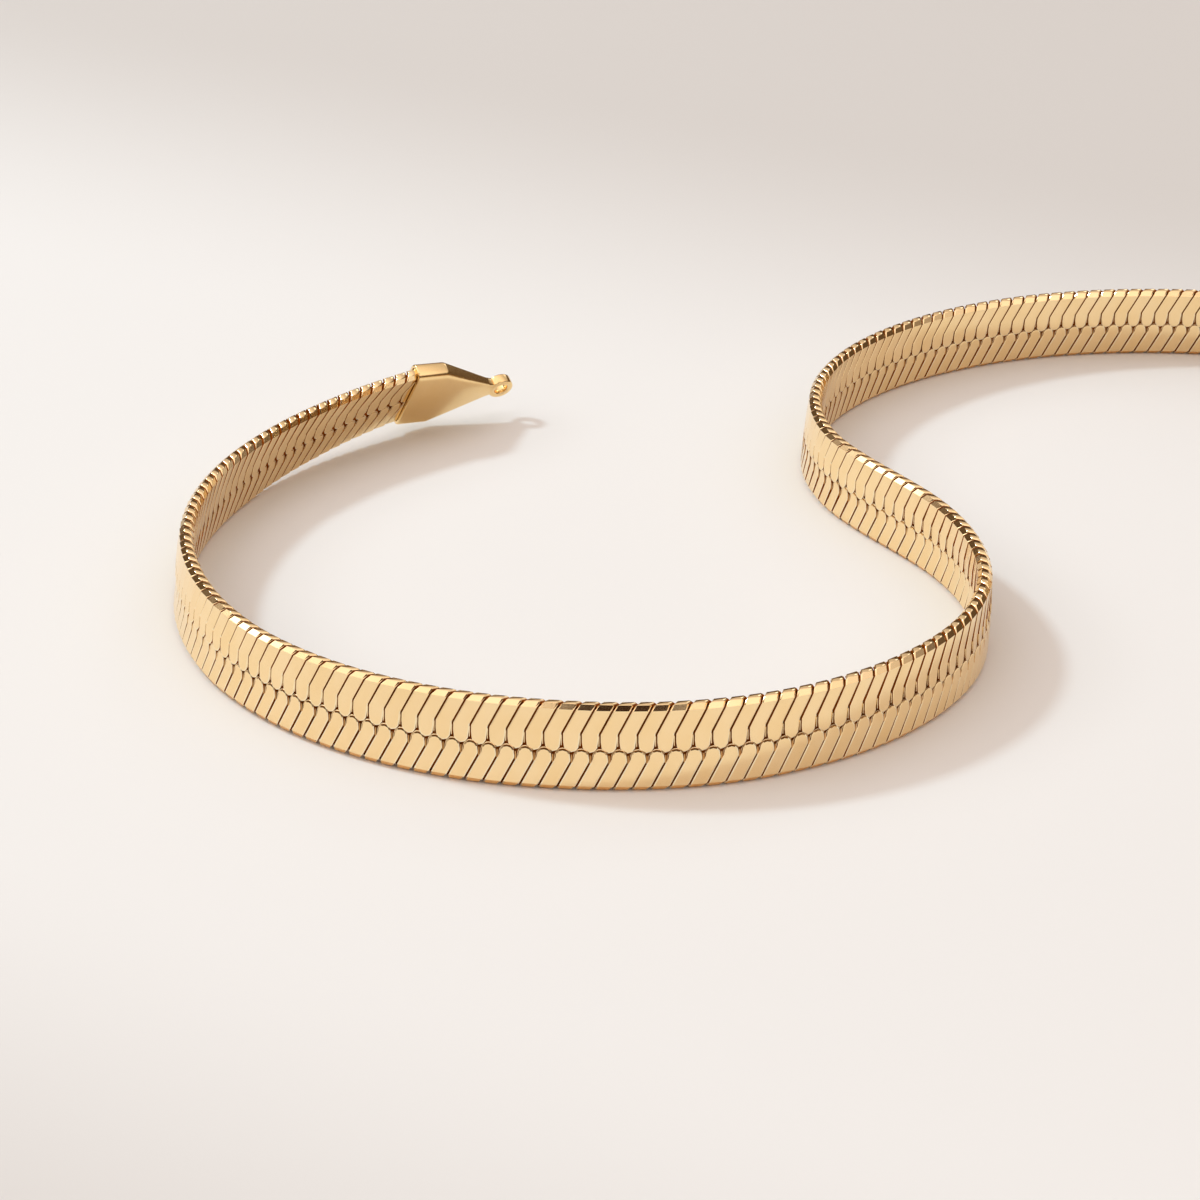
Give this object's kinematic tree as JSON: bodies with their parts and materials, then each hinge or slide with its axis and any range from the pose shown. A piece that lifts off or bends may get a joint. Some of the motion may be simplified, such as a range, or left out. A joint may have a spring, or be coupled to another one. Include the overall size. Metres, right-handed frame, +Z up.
{
  "type": "herringbone chain necklace",
  "caption": "Flat woven herringbone neck chain lying on its edge in an open curve, with a tapered eyed cap at each end and a plain clasp.",
  "frame": {"origin": "On the surface that the chain stands on, under the middle of its bounding box.", "axes": "+Z up. +Y away from the picture's camera, along the longer side of the lying chain. +X to the picture's right."},
  "size_m": [0.1068, 0.1406, 0.0063],
  "materials": {
    "polished_gold": "mirror polished",
    "cap_gold": "polished",
    "clasp_gold": "polished, a little softer"
  },
  "bodies": {
    "root": {"herringbone_band": "polished_gold", "free_end_cap": "cap_gold", "clasp_end_cap": "cap_gold", "clasp": "clasp_gold"}
  },
  "joints": []
}
